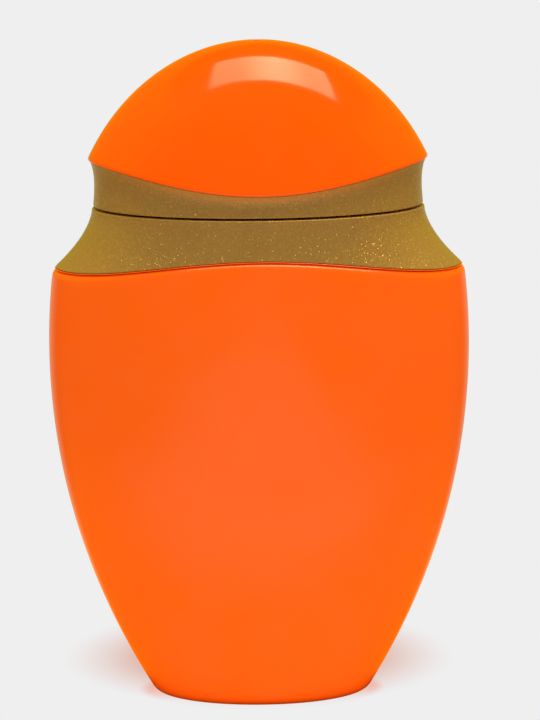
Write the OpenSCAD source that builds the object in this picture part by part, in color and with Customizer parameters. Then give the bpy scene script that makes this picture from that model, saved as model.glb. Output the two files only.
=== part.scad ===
// Oval squeeze bottle for lotion, with a shoulder collar and a domed screw cap.
// It stands upright: +Z up, +X along its width, the origin at the centre of the base.

/* [Overall] */
// Height from the base to the top of the dome
total_h = 129.9; // [124:0.1:145]
// Width of the body at its widest level
body_w = 82.5; // [78:0.1:92]
// Depth of the body, front to back, at its deepest level
body_d = 42; // [40:0.5:50]

/* [Body] */
// Height of the widest level
widest_z = 69.7; // [64:0.1:76]
// Height of the deepest level
deepest_z = 62; // [50:1:72]
// Radius of the arc that each side follows, seen from the front
side_arc_r = 129.5; // [120:0.5:200]
// Radius of the arc that each face follows, seen from the side
face_arc_r = 340; // [250:5:600]
// Radius of the edge round the base
base_edge_r = 2.8; // [1.5:0.1:4]
// Width of the flat ring that the bottle stands on
foot_w = 2.4; // [1.5:0.1:4]
// Height of the recess inside the standing ring
pushup_h = 1.6; // [0.8:0.1:2.4]
// Thickness of the blown wall
body_wall = 1.2; // [0.8:0.1:1.6]
// Thickness of the floor above the recess
floor_t = 1.6; // [1:0.1:2.4]
// Radius of the rounded edge below the collar
shoulder_edge_r = 1.3; // [0.8:0.1:2]

/* [Collar] */
// Height of the collar's lower edge at the two sides
seam_side_z = 85.6; // [82:0.2:87]
// Height of the collar's lower edge at the middle of each face
seam_face_z = 89.4; // [87:0.2:91]
// Height of the flat parting line between the collar and the cap
parting_z = 97.4; // [96:0.2:99]
// Width of the dark gap at the parting line
parting_gap = 0.4; // [0.3:0.05:0.8]
// Width of the waist at the parting line
waist_w = 65; // [60:0.2:70]
// Depth of the waist at the parting line
waist_d = 37; // [35:0.5:38]
// How late the collar flares out: 1 is straight, more is more hollow
flare_power = 1.7; // [1.3:0.1:2.4]
// Wall of the collar
collar_wall = 1.5; // [1.1:0.1:1.8]
// Thickness of the collar's flat deck round the neck
deck_t = 1.25; // [1:0.05:1.6]

/* [Neck] */
// Diameter of the neck below its thread ridges
neck_d = 19.4; // [18:0.2:20.2]
// Diameter over the thread ridges
thread_d = 21.6; // [21:0.1:22]
// Diameter of the bore
neck_bore_d = 16.2; // [14:0.2:17]
// Height of the neck above the collar
neck_h = 11; // [9:0.5:12]

/* [Cap] */
// Height of the dome's lower edge at the two sides
crest_side_z = 106.5; // [105:0.1:108]
// Height of the dome's lower edge at the middle of each face
crest_face_z = 101.9; // [101:0.1:103]
// Width of the dome at its lower edge
crest_w = 66.3; // [65.5:0.1:70]
// Depth of the dome at its lower edge
crest_d = 38.5; // [38.2:0.1:40]
// How full the dome is: 1 is a parabola, 2 is an ellipse
dome_fullness = 1.35; // [1:0.05:1.8]
// Wall of the dome
dome_wall = 1.6; // [1.2:0.1:1.8]
// Wall of the band
band_wall = 1.5; // [1.2:0.1:1.6]
// Width of the gate dimple on top of the dome
dimple_d = 4; // [3:0.5:6]
// Depth of the gate dimple
dimple_depth = 0.35; // [0.2:0.05:0.6]
// Wall of the threaded inner cap
inner_cap_wall = 1.4; // [1:0.1:1.6]
// Thickness of the inner cap's oval web
web_t = 1.4; // [1:0.1:2]

/* [Seal and plug] */
// Diameter of the orifice that the lotion comes through
orifice_d = 4.2; // [3:0.1:6]
// Thickness of the plug's flange
plug_flange_t = 1; // [0.8:0.1:1.4]
// Wall of the plug's skirt
plug_wall = 1; // [0.8:0.1:1.4]
// Depth of the plug's skirt below its flange
plug_h = 6.5; // [5:0.5:8]
// Thickness of the sealing wad
wad_t = 1.2; // [0.8:0.1:1.6]

/* [Hidden] */

// Points round every oval level
around = 60;

// Clearances between pieces
running_gap = 0.3;
seat_gap = 0.3;
press_gap = 0.05;
shell_gap = 0.12;
seam_gap = 0.06;

// Levels from the base up
collar_top_z = parting_z - parting_gap / 2;
band_foot_z = parting_z + parting_gap / 2;
ledge_z = collar_top_z - deck_t;
ledge_rise = 0.15;
shoulder_top_z = ledge_z - ledge_rise;
neck_top_z = collar_top_z + neck_h;
plug_top_z = neck_top_z + plug_flange_t;
wad_top_z = plug_top_z + wad_t;
inner_cap_top_z = wad_top_z + inner_cap_wall;
lip_h = 0.8;
web_z = band_foot_z + lip_h;
spigot_z = web_z + web_t;

// Base: how far the recess slopes in, and the round inside the floor's corner
recess_slope = 3.2;
floor_corner_r = 2;

// Seam below the collar: the lip that the collar stands on, and the groove under the lip
lip_line = 0.35;
lip_inset = 0.4;
groove_depth = 0.45;

// Shoulder hidden by the collar: how it rounds over to its flat top
shoulder_round = 0.5;
shoulder_slope = 1.4;
hollow_drop = 3;

// Collar: its top edge, and how far its inside rounds in below the deck
collar_edge_r = 0.4;
collar_corner_r = 0.4;

// Neck: the ledge for the collar's deck, the land that centres it, and the mouth's edge
ledge_w = 1.3;
land_d = thread_d + 0.2;
neck_edge_r = 0.3;
shoulder_rim = 0.8;

// Plug: chamfer at its foot, the floor's height above the foot, and the well's corner
plug_chamfer = 0.8;
plug_floor_rise = 1.5;
well_corner_r = 0.6;

// Inner cap: gussets between the tube and the web
rib_t = 1.2;
rib_reach = 4;
rib_h = 6;
rib_foot_h = 0.8;
rib_root = 0.4;

// Band: its step in from the collar, its hollow, its foot edge and the lip under the web
band_step = 0.25;
band_hollow = 0.25;
band_flare_power = 6;
band_edge_r = 0.3;
lip_w = 1;

// Dome: its lower edge, how far that stands out past the band, and the spigot in the band
crest_edge_r = 0.5;
crest_reach = 0.35;
spigot_wall = 1.2;

// Radii at the neck
neck_r = neck_d / 2;
bore_r = neck_bore_d / 2;
land_r = land_d / 2;
ledge_r = land_r + ledge_w;
shoulder_top_r = ledge_r + shoulder_rim;
inner_cap_r = thread_d / 2 + running_gap;
inner_cap_out_r = inner_cap_r + inner_cap_wall;

// Half width and half depth of the body at a height
function body_a(z) = body_w / 2 - side_arc_r + sqrt(pow(side_arc_r, 2) - pow(z - widest_z, 2));
function body_b(z) = body_d / 2 - face_arc_r + sqrt(pow(face_arc_r, 2) - pow(z - deepest_z, 2));

// The angle of each point round a level
function turn(i) = 360 * i / around;
// The same height all round
function level(z) = [for (i = [0:around - 1]) z];
// Heights that pass smoothly from the sides to the faces; a high power keeps the rise near the faces
function swept(side_z, face_z, power) =
    [for (i = [0:around - 1]) side_z + (face_z - side_z) * pow(abs(sin(turn(i))), power)];
// A share of the way from one set of heights to another
function between(low, high, share) = [for (i = [0:around - 1]) low[i] + (high[i] - low[i]) * share];
// A set of heights, moved up
function raised(zs, by) = [for (z = zs) z + by];
// An oval ring of points at the given heights
function ring(a, b, zs) =
    [for (i = [0:around - 1]) [a * cos(turn(i)), b * sin(turn(i)), zs[i]]];
// A ring on the body's own surface at the given heights, set in by a distance
function body_ring(zs, inset) =
    [for (i = [0:around - 1])
        [(body_a(zs[i]) - inset) * cos(turn(i)), (body_b(zs[i]) - inset) * sin(turn(i)), zs[i]]];

// A solid through a row of rings; with loop, the last ring joins the first, as on a tube
module loft(rings, loop = false) {
    count = len(rings);
    points = [for (r = rings) each r];
    sides = [
        for (k = [0:count - (loop ? 1 : 2)], i = [0:around - 1])
            let (
                low = k * around,
                high = ((k + 1) % count) * around,
                j = (i + 1) % around
            )
            each [[low + i, high + i, high + j], [low + i, high + j, low + j]]
    ];
    ends = loop ? [] : [
        [for (i = [0:around - 1]) i],
        [for (i = [around - 1:-1:0]) (count - 1) * around + i]
    ];
    polyhedron(points = points, faces = concat(sides, ends), convexity = 10);
}

// The two seams that rise or dip across each face
seam = swept(seam_side_z, seam_face_z, 3.8);
crest = swept(crest_side_z, crest_face_z, 3.1);

// The base edge, where an arc of base_edge_r runs from the floor into the leaning walls
side_lean = asin((widest_z - base_edge_r / 2) / side_arc_r);
face_lean = asin((deepest_z - base_edge_r) / face_arc_r);
side_foot_z = base_edge_r * (1 - sin(side_lean));
face_foot_z = base_edge_r * (1 - sin(face_lean));
foot_a = body_a(side_foot_z) - base_edge_r * cos(side_lean);
foot_b = body_b(face_foot_z) - base_edge_r * cos(face_lean);
function base_ring(share) =
    let (
        side_turn = 90 - share * (90 - side_lean),
        face_turn = 90 - share * (90 - face_lean)
    )
    ring(
        foot_a + base_edge_r * cos(side_turn),
        foot_b + base_edge_r * cos(face_turn),
        swept(base_edge_r * (1 - sin(side_turn)), base_edge_r * (1 - sin(face_turn)), 2)
    );
wall_foot = swept(side_foot_z, face_foot_z, 2);
wall_top = raised(seam, -lip_line - shoulder_edge_r);

// The round with which the wall turns in below the collar
edge_pull = 0.8;
function shoulder_edge(angle) =
    body_ring(
        raised(seam, -lip_line - shoulder_edge_r * (1 - sin(angle))),
        shoulder_edge_r * (1 - cos(angle)) * edge_pull
    );

// The collar flares from the waist at share 0 to its lower edge at share 1
function collar_ring(share, inset) =
    [for (i = [0:around - 1])
        let (
            z = collar_top_z - share * (collar_top_z - seam[i]),
            flare = pow(share, flare_power),
            a = waist_w / 2 + (body_a(seam[i]) - lip_inset - waist_w / 2) * flare - inset,
            b = waist_d / 2 + (body_b(seam[i]) - lip_inset - waist_d / 2) * flare - inset
        )
        [a * cos(turn(i)), b * sin(turn(i)), z]];

module body_shell() {
    shoulder_inset = collar_wall + seat_gap;
    recess_a = foot_a - foot_w;
    recess_b = foot_b - foot_w;
    top_a = waist_w / 2 - shoulder_inset;
    top_b = waist_d / 2 - shoulder_inset;
    floor_z = pushup_h + floor_t;
    hollow_top = raised(seam, -hollow_drop);
    loft(concat(
        [ring(recess_a - recess_slope, recess_b - recess_slope, level(pushup_h))],
        [ring(recess_a - recess_slope * 0.3, recess_b - recess_slope * 0.3, level(pushup_h * 0.75))],
        [ring(recess_a, recess_b, level(0))],
        [for (share = [0, 0.34, 0.67]) base_ring(share)],
        [for (share = [0:1 / 13:0.999]) body_ring(between(wall_foot, wall_top, share), 0)],
        [for (angle = [0, 30, 60, 90]) shoulder_edge(angle)],
        [body_ring(raised(seam, -lip_line * 0.8), shoulder_edge_r * edge_pull + groove_depth)],
        [body_ring(raised(seam, -lip_line * 0.4), lip_inset)],
        [body_ring(raised(seam, -seam_gap), lip_inset + 0.1)],
        [for (share = [1, 0.8, 0.55, 0.35]) collar_ring(share, shoulder_inset)],
        [ring(top_a - shoulder_round, top_b - shoulder_round,
            level(shoulder_top_z - 2 * shoulder_round))],
        [ring(top_a - shoulder_slope, top_b - shoulder_slope,
            level(shoulder_top_z - shoulder_round))],
        [ring(shoulder_top_r, shoulder_top_r, level(shoulder_top_z))],
        [ring(ledge_r - shoulder_rim, ledge_r - shoulder_rim, level(shoulder_top_z))],
        [ring(ledge_r - shoulder_rim, ledge_r - shoulder_rim, level(shoulder_top_z - body_wall))],
        [ring(shoulder_top_r, shoulder_top_r, level(shoulder_top_z - body_wall))],
        [for (share = [0.45, 0.7, 1]) collar_ring(share, shoulder_inset + body_wall)],
        [for (share = [1:-1 / 7:0.1])
            body_ring(between(level(floor_z), hollow_top, share), body_wall)],
        [body_ring(level(floor_z + floor_corner_r * 0.6), body_wall + floor_corner_r * 0.2)],
        [body_ring(level(floor_z + floor_corner_r * 0.1), body_wall + floor_corner_r)],
        [ring(recess_a - recess_slope, recess_b - recess_slope, level(floor_z))]
    ));
}

// The neck, turned: a ledge for the collar, a land that centres it, and the straight finish
module neck() {
    rotate_extrude($fn = 96)
        polygon([
            [bore_r, shoulder_top_z - body_wall - ledge_rise],
            [ledge_r, shoulder_top_z - body_wall - ledge_rise],
            [ledge_r, ledge_z],
            [land_r, ledge_z],
            [land_r, collar_top_z],
            [neck_r, collar_top_z + (land_r - neck_r) / 2],
            [neck_r, neck_top_z - neck_edge_r],
            [neck_r - neck_edge_r, neck_top_z],
            [bore_r, neck_top_z]
        ]);
}

module bottle_body() {
    color([1, 0.4, 0.06])
        union() {
            body_shell();
            neck();
        }
}

module shoulder_collar() {
    top_a = waist_w / 2 - collar_edge_r;
    top_b = waist_d / 2 - collar_edge_r;
    inside_a = waist_w / 2 - collar_wall - collar_corner_r;
    inside_b = waist_d / 2 - collar_wall - collar_corner_r;
    color([0.64, 0.49, 0.22])
        difference() {
            loft(concat(
                [ring(inside_a, inside_b, level(ledge_z))],
                [for (share = [0.2, 0.45, 0.7, 0.88, 1]) collar_ring(share, collar_wall)],
                [collar_ring(1, 0.1)],
                [for (share = [0.985, 0.9, 0.78, 0.64, 0.5, 0.35, 0.2, 0.05]) collar_ring(share, 0)],
                [ring(top_a + collar_edge_r * 0.7, top_b + collar_edge_r * 0.7,
                    level(collar_top_z - collar_edge_r * 0.3))],
                [ring(top_a, top_b, level(collar_top_z))]
            ));
            translate([0, 0, ledge_z - 1])
                cylinder(h = deck_t + 2, r = land_r + running_gap / 2, $fn = 96);
        }
}

// A cup that presses into the bore and leaves a small round orifice in its floor
module orifice_plug() {
    skirt_r = bore_r - press_gap;
    foot_z = neck_top_z - plug_h;
    floor_z = foot_z + plug_floor_rise;
    color([0.93, 0.93, 0.9])
        rotate_extrude($fn = 96)
            polygon([
                [orifice_d / 2, floor_z],
                [skirt_r - plug_wall, floor_z],
                [skirt_r - plug_wall, foot_z],
                [skirt_r - plug_wall / 2, foot_z],
                [skirt_r, foot_z + plug_chamfer],
                [skirt_r, neck_top_z],
                [neck_r, neck_top_z],
                [neck_r, plug_top_z],
                [skirt_r - plug_wall, plug_top_z],
                [skirt_r - plug_wall, floor_z + plug_wall + well_corner_r],
                [skirt_r - plug_wall - well_corner_r, floor_z + plug_wall],
                [orifice_d / 2, floor_z + plug_wall]
            ]);
}

module sealing_wad() {
    color([0.96, 0.96, 0.94])
        translate([0, 0, plug_top_z])
            cylinder(h = wad_t, r = inner_cap_r - running_gap, $fn = 96);
}

// Half width and half depth of the band's inside, which the web and the spigot fit
band_a = waist_w / 2 - band_step - band_wall;
band_b = waist_d / 2 - band_step - band_wall;

// A gusset from the tube down to the web
module web_rib(angle) {
    root_r = inner_cap_r + rib_root;
    reach = inner_cap_out_r + rib_reach;
    rotate([0, 0, angle])
        translate([0, rib_t / 2, 0])
            rotate([90, 0, 0])
                linear_extrude(height = rib_t)
                    polygon([
                        [root_r, spigot_z - rib_root],
                        [reach, spigot_z - rib_root],
                        [reach, spigot_z + rib_foot_h],
                        [root_r, spigot_z + rib_h]
                    ]);
}

module inner_cap() {
    color([0.95, 0.95, 0.93])
        difference() {
            union() {
                translate([0, 0, band_foot_z])
                    cylinder(h = inner_cap_top_z - band_foot_z, r = inner_cap_out_r, $fn = 96);
                translate([0, 0, web_z])
                    linear_extrude(height = web_t)
                        polygon([for (i = [0:around - 1])
                            [(band_a - shell_gap) * cos(turn(i)), (band_b - shell_gap) * sin(turn(i))]]);
                for (angle = [0, 42, 138, 180, 222, 318]) {
                    web_rib(angle);
                }
            }
            translate([0, 0, band_foot_z - 1])
                cylinder(h = wad_top_z - band_foot_z + 1, r = inner_cap_r, $fn = 96);
        }
}

// The band is hollow at its waist and flares out under the dome
function band_ring(share) =
    let (
        flare = pow(share, band_flare_power),
        hollow = band_step + band_hollow * sin(180 * share)
    )
    ring(
        waist_w / 2 - hollow + flare * ((crest_w - waist_w) / 2 + band_step - crest_reach),
        waist_d / 2 - hollow + flare * ((crest_d - waist_d) / 2 + band_step - crest_reach),
        between(level(band_foot_z), crest, share)
    );

module cap_band() {
    foot_inset = band_step + band_edge_r;
    color([0.66, 0.51, 0.23])
        loft(
            loop = true,
            rings = concat(
                [ring(waist_w / 2 - foot_inset, waist_d / 2 - foot_inset, level(band_foot_z))],
                [for (share = [0.03, 0.3, 0.6, 0.78, 0.88, 0.95, 1]) band_ring(share)],
                [ring(band_a, band_b, crest)],
                [ring(band_a, band_b, level(web_z))],
                [ring(band_a - lip_w, band_b - lip_w, level(web_z))],
                [ring(band_a - lip_w, band_b - lip_w, level(band_foot_z))]
            )
        );
}

// Share of the dome's half width at a share of its height below the top, and its inverse
function dome_out(share) = sqrt(dome_fullness * share - (dome_fullness - 1) * share * share);
function dome_share(out) =
    dome_fullness == 1 ? out * out :
    (dome_fullness - sqrt(pow(dome_fullness, 2) - 4 * (dome_fullness - 1) * out * out))
        / (2 * (dome_fullness - 1));

// Heights at a share of the way down from the top of the dome to its lower edge
crest_edge = raised(crest, crest_edge_r + seam_gap);
even_edge = swept(crest_side_z + crest_edge_r, crest_face_z + crest_edge_r, 2);
function dome_heights(share, top) =
    [for (i = [0:around - 1])
        top - share * (top - even_edge[i] - (crest_edge[i] - even_edge[i]) * share * share)];
function dome_ring(share, inset) =
    ring(
        (crest_w / 2 - inset) * dome_out(share),
        (crest_d / 2 - inset) * dome_out(share),
        dome_heights(share, total_h - inset)
    );
// A round ring near the top, on the dome's surface less the dimple's depth there
function dimple_ring(r) =
    [for (i = [0:around - 1])
        let (
            x = r * cos(turn(i)),
            y = r * sin(turn(i)),
            share = dome_share(norm([2 * x / crest_w, 2 * y / crest_d])),
            edge = total_h - even_edge[i],
            sink = dimple_depth * (1 - pow(2 * r / dimple_d, 2))
        )
        [x, y, total_h - share * edge - sink]];

module cap_dome() {
    spigot_a = band_a - shell_gap;
    spigot_b = band_b - shell_gap;
    rim_a = crest_w / 2;
    rim_b = crest_d / 2;
    under = raised(crest, seam_gap);
    color([1, 0.42, 0.02])
        loft(concat(
            [ring(dimple_d / 2, dimple_d / 4, level(total_h - dome_wall))],
            [for (share = [0.06, 0.18, 0.36, 0.56, 0.76, 0.94]) dome_ring(share, dome_wall)],
            [ring(spigot_a - spigot_wall, spigot_b - spigot_wall, level(spigot_z))],
            [ring(spigot_a, spigot_b, level(spigot_z))],
            [ring(spigot_a, spigot_b, under)],
            [ring(rim_a - crest_reach, rim_b - crest_reach, under)],
            [ring(rim_a - crest_reach / 3, rim_b - crest_reach / 3, raised(under, crest_edge_r * 0.45))],
            [for (share = [1, 0.94, 0.86, 0.76, 0.65, 0.54, 0.43, 0.33, 0.24, 0.16, 0.095, 0.05, 0.022])
                dome_ring(share, 0)],
            [for (r = [0.5, 0.28]) dimple_ring(dimple_d * r)],
            [ring(dimple_d * 0.1, dimple_d * 0.1, level(total_h - dimple_depth))]
        ));
}

bottle_body();
shoulder_collar();
orifice_plug();
sealing_wad();
inner_cap();
cap_band();
cap_dome();
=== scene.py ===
"""An oval lotion bottle with a metallic shoulder collar and a domed screw cap, built round its CAD frame."""

import math

import bmesh
import bpy
import numpy as np
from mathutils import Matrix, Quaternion, Vector


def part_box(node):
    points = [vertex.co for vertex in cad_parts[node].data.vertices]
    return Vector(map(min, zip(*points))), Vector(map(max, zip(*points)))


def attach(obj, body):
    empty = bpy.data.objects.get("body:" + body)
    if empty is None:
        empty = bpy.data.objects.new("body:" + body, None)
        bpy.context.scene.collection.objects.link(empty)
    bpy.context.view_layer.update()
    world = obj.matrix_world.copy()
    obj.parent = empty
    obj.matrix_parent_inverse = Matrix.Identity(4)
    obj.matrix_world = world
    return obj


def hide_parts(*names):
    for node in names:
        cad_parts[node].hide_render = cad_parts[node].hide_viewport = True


bl_info = {
    "name": "Oval Lotion Bottle",
    "version": (1, 0, 0),
    "blender": (4, 5, 0),
    "location": "View3D > Sidebar > Lotion Bottle",
    "description": "Makes an oval lotion bottle with a shoulder collar and a domed screw cap",
    "category": "Add Mesh",
}

MM = 0.001

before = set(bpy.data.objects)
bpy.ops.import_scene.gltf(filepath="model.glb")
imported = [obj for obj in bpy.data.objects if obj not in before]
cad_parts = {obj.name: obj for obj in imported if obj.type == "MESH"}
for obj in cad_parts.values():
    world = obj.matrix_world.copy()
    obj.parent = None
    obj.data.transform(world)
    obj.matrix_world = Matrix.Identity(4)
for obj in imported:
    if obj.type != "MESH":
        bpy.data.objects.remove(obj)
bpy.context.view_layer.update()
collar_low, collar_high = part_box("shoulder_collar")
plug_low, plug_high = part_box("orifice_plug")
wad_low, wad_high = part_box("sealing_wad")
cap_low, cap_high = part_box("inner_cap")
band_low, band_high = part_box("cap_band")


# --- Sizes and colours -------------------------------------------------------------------------


def linear(code):
    """An sRGB hex colour, such as "#FF6010", as linear red, green, blue and alpha"""
    parts = [int(code[i : i + 2], 16) / 255 for i in (1, 3, 5)]
    return [c / 12.92 if c <= 0.04045 else ((c + 0.055) / 1.055) ** 2.4 for c in parts] + [1.0]


def length(name, description, default):
    """A size in metres, shown in the scene's own unit"""
    return bpy.props.FloatProperty(
        name=name, description=description, default=default, min=0.0, precision=5, unit="LENGTH"
    )


def colour(name, description, code):
    """A colour whose default is an sRGB hex value"""
    return bpy.props.FloatVectorProperty(
        name=name, description=description, default=linear(code), size=4, min=0.0, max=1.0, subtype="COLOR"
    )


class BottleSizes(bpy.types.PropertyGroup):
    """Sizes of the blown bottle, its collar and its neck"""

    body_width: length("Body Width", "Width of the body at its widest level", 82.5 * MM)
    body_depth: length("Body Depth", "Depth of the body at its deepest level", 42 * MM)
    widest_height: length("Widest Height", "Height of the widest level", 69.7 * MM)
    deepest_height: length("Deepest Height", "Height of the deepest level", 62 * MM)
    side_arc: length("Side Arc", "Radius of the arc that each side follows", 129.5 * MM)
    face_arc: length("Face Arc", "Radius of the arc that each face follows", 340 * MM)
    base_edge: length("Base Edge", "Radius of the edge round the base", 2.8 * MM)
    foot: length("Foot", "Width of the flat ring that the bottle stands on", 2.4 * MM)
    recess: length("Recess", "Height of the recess inside the foot", 1.6 * MM)
    wall: length("Wall", "Thickness of the blown wall", 1.2 * MM)
    floor: length("Floor", "Thickness of the floor above the recess", 1.6 * MM)
    shoulder_edge: length("Shoulder Edge", "Radius of the edge below the collar", 1.3 * MM)
    seam_sides: length("Seam at the Sides", "Height of the collar's edge at the sides", collar_low.z)
    seam_faces: length("Seam at the Faces", "Height of the collar's edge at the faces", 89.4 * MM)
    waist_width: length("Waist Width", "Width of the waist at the parting line", 65 * MM)
    waist_depth: length("Waist Depth", "Depth of the waist at the parting line", 37 * MM)
    collar_top: length("Collar Top", "Height of the collar's flat deck", collar_high.z)
    collar_wall: length("Collar Wall", "Thickness of the collar", 1.5 * MM)
    deck: length("Deck", "Thickness of the collar's deck", 1.25 * MM)
    neck_width: length("Neck Width", "Diameter of the neck below its thread", 19.4 * MM)
    thread_width: length("Thread Width", "Diameter over the thread ridges", 21.6 * MM)
    thread_lead: length("Thread Lead", "Rise of the cap in one turn", 8 * MM)
    bore: length("Bore", "Diameter of the neck's bore", 16.2 * MM)
    neck_top: length("Neck Top", "Height of the neck's mouth", plug_high.z - 1 * MM)
    orifice: length("Orifice", "Diameter of the hole in the plug", 4.2 * MM)
    flare: bpy.props.FloatProperty(
        name="Flare", description="How late the collar flares out", default=1.7, min=1.0, max=4.0
    )


class CapSizes(bpy.types.PropertyGroup):
    """Sizes of the domed cap"""

    top: length("Top", "Height of the top of the dome", 129.9 * MM)
    crest_sides: length("Crest at the Sides", "Height of the dome's edge at the sides", band_high.z)
    crest_faces: length("Crest at the Faces", "Height of the dome's edge at the faces", 101.9 * MM)
    crest_width: length("Crest Width", "Width of the dome at its lower edge", 66.3 * MM)
    crest_depth: length("Crest Depth", "Depth of the dome at its lower edge", 38.5 * MM)
    dome_wall: length("Dome Wall", "Thickness of the dome", 1.6 * MM)
    band_wall: length("Band Wall", "Thickness of the band", 1.5 * MM)
    band_foot: length("Band Foot", "Height of the band's lower edge", band_low.z)
    dimple: length("Gate Dimple", "Diameter of the dimple on top of the dome", 4 * MM)
    dimple_depth: length("Dimple Depth", "Depth of the dimple on top of the dome", 0.35 * MM)
    inner_wall: length("Inner Cap Wall", "Thickness of the threaded tube", 1.4 * MM)
    web: length("Web", "Thickness of the inner cap's oval web", 1.4 * MM)
    fullness: bpy.props.FloatProperty(
        name="Fullness", description="1 is a parabola and 2 is an ellipse", default=1.35, min=1.0, max=2.0
    )


class Finishes(bpy.types.PropertyGroup):
    """Colours of the pieces"""

    bottle: colour("Bottle", "Pigment of the blown bottle", "#FD5E00")
    # The dome's colour is painted a little darker than the bottle's: painted shade that offsets the stronger light on
    # its top, as both plastics likely share one pigment.
    dome: colour("Dome", "Pigment of the moulded dome", "#FB5600")
    gold: colour("Gold", "Lacquer on the collar and the band", "#C18C42")
    flake: colour("Flake", "Metal flake in the lacquer", "#D8AC4C")
    plug: colour("Plug", "Natural plastic of the plug", "#EBEAE2")
    foam: colour("Foam", "Foam of the sealing wad", "#F1F0EA")
    inner: colour("Inner Cap", "Plastic of the inner cap", "#EEEDE6")


class Studio(bpy.types.PropertyGroup):
    """Camera and light of the photographed view"""

    turn: bpy.props.FloatProperty(
        name="Turn",
        description="How far the camera stands round to the side",
        default=math.radians(-1.647),
        subtype="ANGLE",
    )
    rise: bpy.props.FloatProperty(
        name="Rise",
        description="How far the camera looks down",
        default=math.radians(11.131),
        subtype="ANGLE",
    )
    roll: bpy.props.FloatProperty(
        name="Roll",
        description="How far the camera leans",
        default=math.radians(-0.461),
        subtype="ANGLE",
    )
    distance: length("Distance", "Distance from the camera to the bottle", 1000 * MM)
    aim_height: length("Aim Height", "Height that the camera looks at", 65 * MM)
    backdrop: colour("Backdrop", "Paper behind and under the bottle", "#EFEFEF")


# --- Meshes, trees and nodes -------------------------------------------------------------------


def add_node(tree, kind, inputs=(), **settings):
    """Adds a node. An input is named or numbered, and it takes a value, or a link from a socket."""
    node = tree.nodes.new(kind)
    for name, value in settings.items():
        setattr(node, name, value)
    for name, value in dict(inputs).items():
        if isinstance(value, bpy.types.NodeSocket):
            tree.links.new(value, node.inputs[name])
        else:
            node.inputs[name].default_value = value
    return node


def new_tree(name, inputs):
    """A geometry tree with named inputs, and the sockets that they come out of"""
    tree = bpy.data.node_groups.new(name, "GeometryNodeTree")
    tree.interface.new_socket("Geometry", in_out="OUTPUT", socket_type="NodeSocketGeometry")
    tree.interface.new_socket("Geometry", in_out="INPUT", socket_type="NodeSocketGeometry")
    for label, kind, default in inputs:
        socket = tree.interface.new_socket(label, in_out="INPUT", socket_type=kind)
        if default is not None:
            socket.default_value = default
    given = add_node(tree, "NodeGroupInput").outputs
    return tree, given


def end_tree(tree, geometry, material, smooth=True):
    """Ends a tree: real geometry, shaded and with its material"""
    real = add_node(tree, "GeometryNodeRealizeInstances", {"Geometry": geometry})
    shaded = add_node(tree, "GeometryNodeSetShadeSmooth", {0: real.outputs[0], "Shade Smooth": smooth})
    painted = add_node(tree, "GeometryNodeSetMaterial", {"Geometry": shaded.outputs[0], "Material": material})
    add_node(tree, "NodeGroupOutput", {"Geometry": painted.outputs[0]})


SHARP_FROM = math.radians(40)


def finish_mesh(piece):
    """Faces outwards, smooth over every edge that turns less than the angle from which edges are sharp"""
    work = bmesh.new()
    work.from_mesh(piece.data)
    bmesh.ops.remove_doubles(work, verts=work.verts, dist=1e-7)
    bmesh.ops.dissolve_degenerate(work, edges=work.edges, dist=1e-8)
    bmesh.ops.recalc_face_normals(work, faces=work.faces)
    work.to_mesh(piece.data)
    work.free()
    piece.data.shade_smooth()
    piece.data.set_sharp_from_angle(angle=SHARP_FROM)
    return piece


def grow(name, tree, values, points=((0, 0, 0),)):
    """A plain mesh made by a tree with the given inputs, from the given points"""
    seed = bpy.data.meshes.new(name)
    seed.from_pydata([tuple(p) for p in points], [], [])
    maker = bpy.data.objects.new(name + "_maker", seed)
    bpy.context.collection.objects.link(maker)
    modifier = maker.modifiers.new("Make", "NODES")
    modifier.node_group = tree
    for item in tree.interface.items_tree:
        if item.item_type == "SOCKET" and item.in_out == "INPUT" and item.name in values:
            modifier[item.identifier] = values[item.name]
    maker.update_tag()
    seen = maker.evaluated_get(bpy.context.evaluated_depsgraph_get())
    mesh = bpy.data.meshes.new_from_object(seen)
    mesh.name = name
    piece = bpy.data.objects.new(name, mesh)
    bpy.context.collection.objects.link(piece)
    bpy.data.objects.remove(maker)
    return finish_mesh(piece)


def loft(name, rings, material, loop=False):
    """A closed skin through rings of points. With loop the last ring meets the first, and otherwise each end
    closes at a pole."""
    rings = [np.asarray(r, float) for r in rings]
    around = len(rings[0])
    points = np.concatenate(rings)
    faces = []
    for k in range(len(rings) if loop else len(rings) - 1):
        low, high = k * around, (k + 1) % len(rings) * around
        for i in range(around):
            j = (i + 1) % around
            faces.append((low + i, low + j, high + j, high + i))
    if not loop:
        for first, ring in ((0, rings[0]), ((len(rings) - 1) * around, rings[-1])):
            pole = len(points)
            points = np.concatenate([points, ring.mean(axis=0)[None]])
            faces += [(first + i, first + (i + 1) % around, pole) for i in range(around)]
    mesh = bpy.data.meshes.new(name)
    mesh.from_pydata(points.tolist(), [], faces)
    mesh.materials.append(material)
    piece = bpy.data.objects.new(name, mesh)
    bpy.context.collection.objects.link(piece)
    return finish_mesh(piece)


def arc(centre, radius, start, end, steps):
    """Points on an arc in a plane of radius and height, from one angle to another in degrees"""
    angles = np.radians(np.linspace(start, end, steps))
    return [(centre[0] + radius * math.cos(a), centre[1] + radius * math.sin(a)) for a in angles]


def turned(name, outline, material, around=128, loop=True):
    """A piece turned on a lathe: its outline, as radius and height, goes once round the axis"""
    angle = np.linspace(0, 2 * math.pi, around, endpoint=False)
    rings = [np.stack([r * np.cos(angle), r * np.sin(angle), np.full(around, z)], axis=1) for r, z in outline]
    return loft(name, rings, material, loop=loop)


# --- The bottle's own curves -------------------------------------------------------------------

AROUND = 256
TURN = np.linspace(0, 2 * math.pi, AROUND, endpoint=False)


def oval(half_width, half_depth, height):
    """A ring of points on an oval; the sizes and the height may change round it"""
    return np.stack([half_width * np.cos(TURN), half_depth * np.sin(TURN), height + 0 * TURN], axis=1)


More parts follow.
